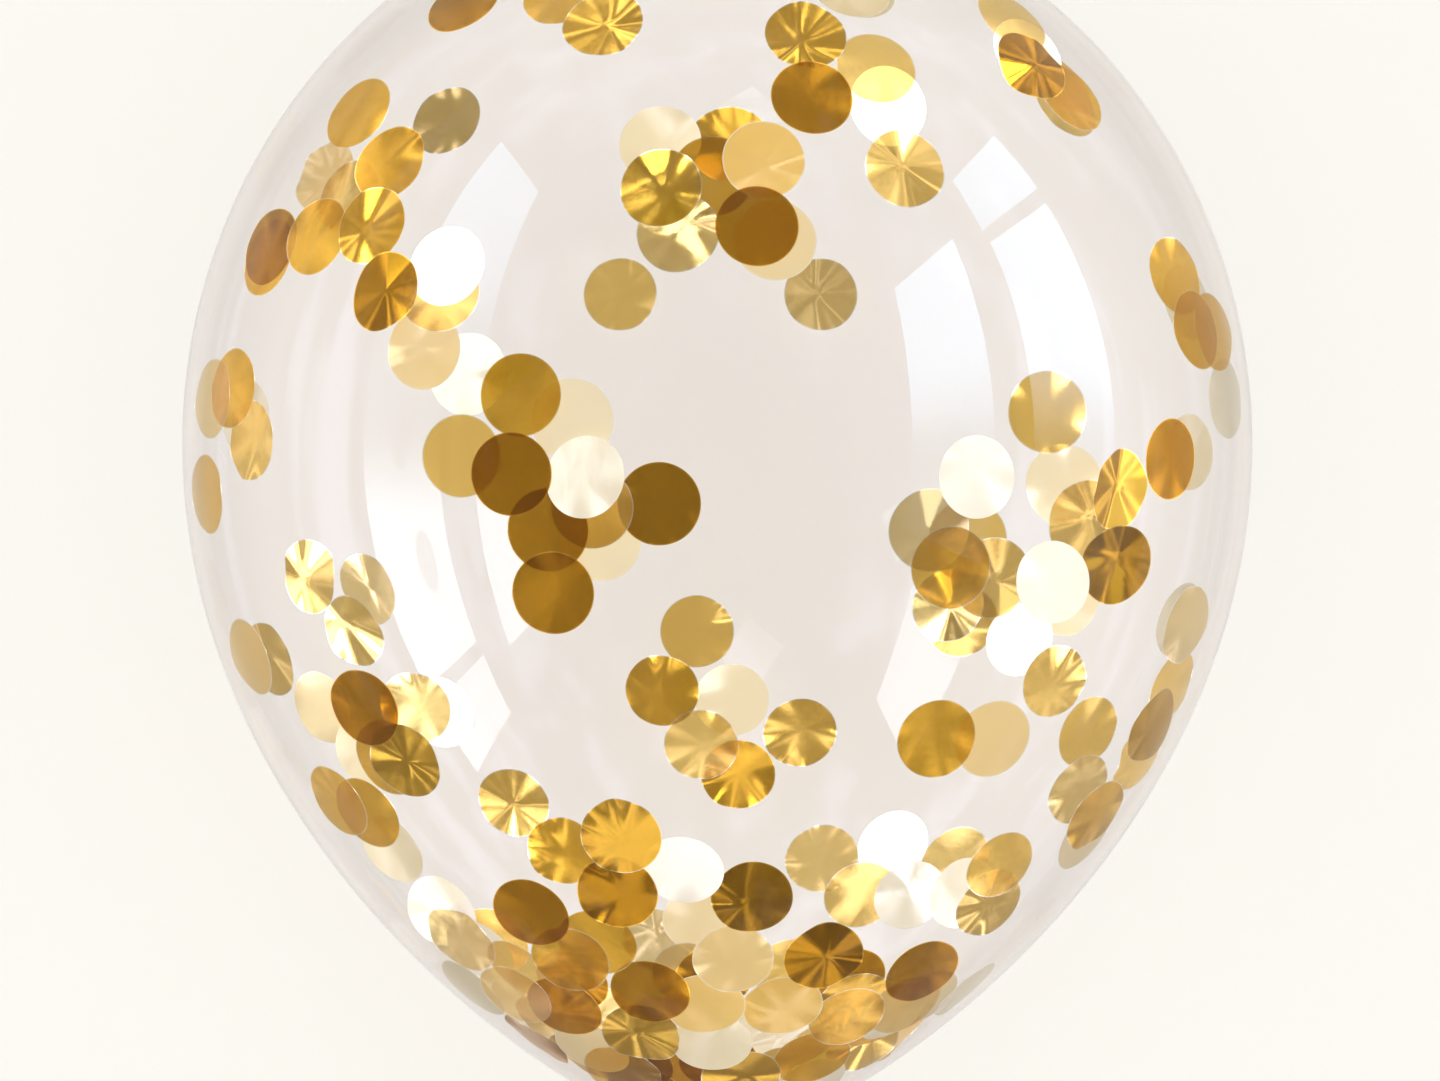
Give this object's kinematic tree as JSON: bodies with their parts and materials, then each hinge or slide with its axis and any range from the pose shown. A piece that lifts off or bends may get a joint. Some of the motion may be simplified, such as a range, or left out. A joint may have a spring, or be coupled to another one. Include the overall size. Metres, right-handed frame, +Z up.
{
  "type": "confetti balloon",
  "caption": "Clear latex party balloon, blown up to a pear shape and knotted at the neck, lying on its side with round gold foil confetti sealed inside.",
  "frame": {"origin": "middle of the small flat spot that the balloon lies on, under its widest station", "axes": "+Y along the balloon's axis towards its crown, the knot towards -Y, +Z up from the flat spot"},
  "size_m": [0.28, 0.382, 0.278],
  "materials": {
    "clear_latex": "clear stretched latex, glossy and see-through",
    "gold_foil": "gold metallised film, polished and slightly crinkled, of the confetti sealed inside"
  },
  "bodies": {
    "root": {"latex_balloon": "clear_latex"}
  },
  "joints": []
}
